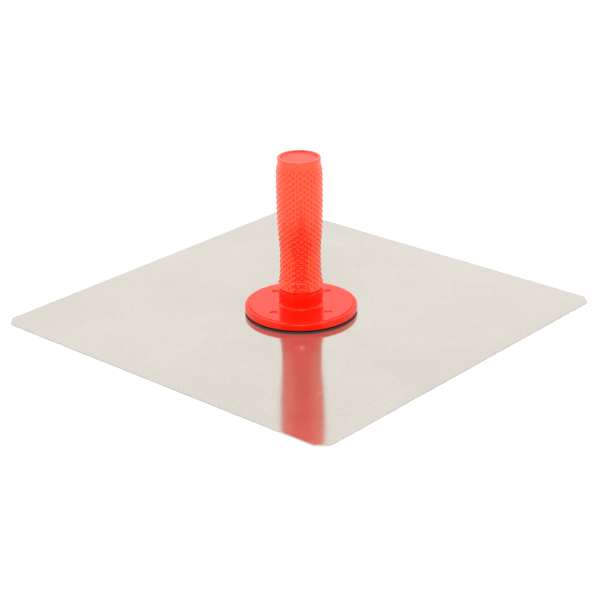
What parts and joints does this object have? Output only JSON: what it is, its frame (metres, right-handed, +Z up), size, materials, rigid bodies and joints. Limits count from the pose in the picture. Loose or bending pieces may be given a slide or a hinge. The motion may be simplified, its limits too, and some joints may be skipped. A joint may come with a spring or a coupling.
{
  "type": "mortar hawk",
  "caption": "Plasterer's hawk: a 330 mm square aluminium plate with a screwed-on red handle, a round flange and a soft bumped grip.",
  "frame": {"origin": "centre of the plate's working face, which is the lowest face of the part", "axes": "+Z up the handle from the plate's working face, +X and +Y along the plate's edges"},
  "size_m": [0.33, 0.33, 0.1283],
  "materials": {
    "plate_metal": "satin",
    "pad_rubber": "matte",
    "handle_plastic": "gloss",
    "grip_rubber": "satin",
    "cap_plastic": "satin",
    "fastener_steel": "satin",
    "nut_nylon": "matte"
  },
  "bodies": {
    "root": {"hawk_plate": "plate_metal", "base_pad": "pad_rubber", "handle_base": "handle_plastic", "grip_sleeve": "grip_rubber", "end_plug": "cap_plastic", "centre_bolt": "fastener_steel", "flat_washer": "fastener_steel", "lock_nut": "fastener_steel", "nut_ring": "nut_nylon"}
  },
  "joints": []
}
